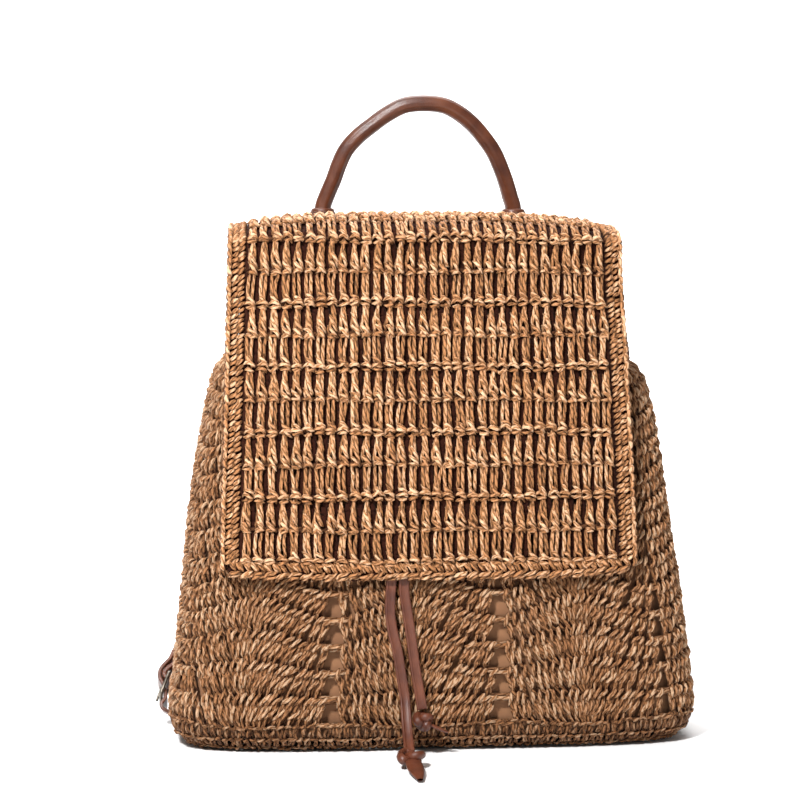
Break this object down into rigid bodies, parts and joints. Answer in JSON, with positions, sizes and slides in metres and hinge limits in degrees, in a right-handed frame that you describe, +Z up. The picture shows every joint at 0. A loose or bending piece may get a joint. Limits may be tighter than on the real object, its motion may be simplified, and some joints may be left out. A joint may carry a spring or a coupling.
{
  "type": "woven straw backpack",
  "caption": "Crocheted straw backpack with a long flap over its mouth, a drawstring neck, a rolled leather handle and leather shoulder straps.",
  "frame": {"origin": "middle of the underside of the base, where the bag stands", "axes": "+Z up, the front with the flap's hem faces -Y, +X to the right as seen from the front"},
  "size_m": [0.324, 0.2507, 0.3838],
  "materials": {
    "straw": "crocheted straw strand, slight sheen",
    "lining_cloth": "plain woven cotton",
    "leather": "smooth brown leather, half matt",
    "lace": "soft brown leather, half matt",
    "metal": "antique dark metal"
  },
  "bodies": {
    "root": {"crochet_body": "straw", "lining": "lining_cloth", "flap": "straw", "flap_edging": "straw", "drawstring": "lace", "drawstring_end_left": "lace", "drawstring_end_right": "lace", "knot_left": "lace", "knot_right": "lace", "handle": "leather", "handle_tab_left": "leather", "handle_tab_right": "leather", "strap_anchor": "leather", "strap_left": "leather", "strap_right": "leather", "strap_base_left": "leather", "strap_base_right": "leather", "buckle_left": "metal", "buckle_right": "metal", "prong_left": "metal", "prong_right": "metal", "keeper_left": "leather", "keeper_right": "leather"}
  },
  "joints": []
}
